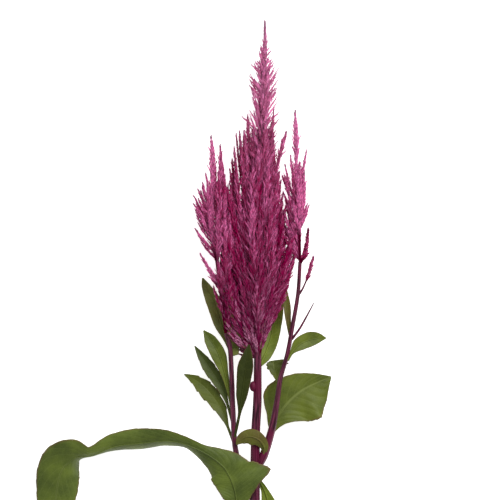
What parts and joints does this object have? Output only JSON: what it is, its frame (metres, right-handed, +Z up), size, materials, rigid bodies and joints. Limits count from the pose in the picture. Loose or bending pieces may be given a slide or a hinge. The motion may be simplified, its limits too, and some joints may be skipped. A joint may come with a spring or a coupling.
{
  "type": "plume celosia stem",
  "caption": "Cut plume celosia lying on a surface: a branched stem with feathery magenta flower plumes and long green leaves.",
  "frame": {"origin": "centre of the bottom of the bounding box, on the surface that the stem lies on", "axes": "+Y along the stem towards the plume's tip, +X to the right seen from above with the tip away, +Z up from the surface"},
  "size_m": [0.185, 0.4096, 0.0341],
  "materials": {
    "flower": "matt, softly velvety magenta",
    "stem": "smooth, faintly shiny maroon",
    "leaf": "satin mid green",
    "dark_leaf": "satin dark green"
  },
  "bodies": {
    "root": {"stem": "stem", "plume_main": "flower", "plume_left": "flower", "plume_right": "flower", "plume_side": "flower", "leaf_long": "leaf", "leaf_front": "dark_leaf", "leaf_under_left": "leaf", "leaf_under_right": "leaf", "leaf_left_upper": "leaf", "leaf_left_middle": "leaf", "leaf_left_lower": "leaf", "leaf_curled": "leaf", "leaf_broad": "leaf", "leaf_notch": "leaf", "leaf_right": "leaf", "leaf_narrow": "leaf", "leaf_low": "leaf"}
  },
  "joints": []
}
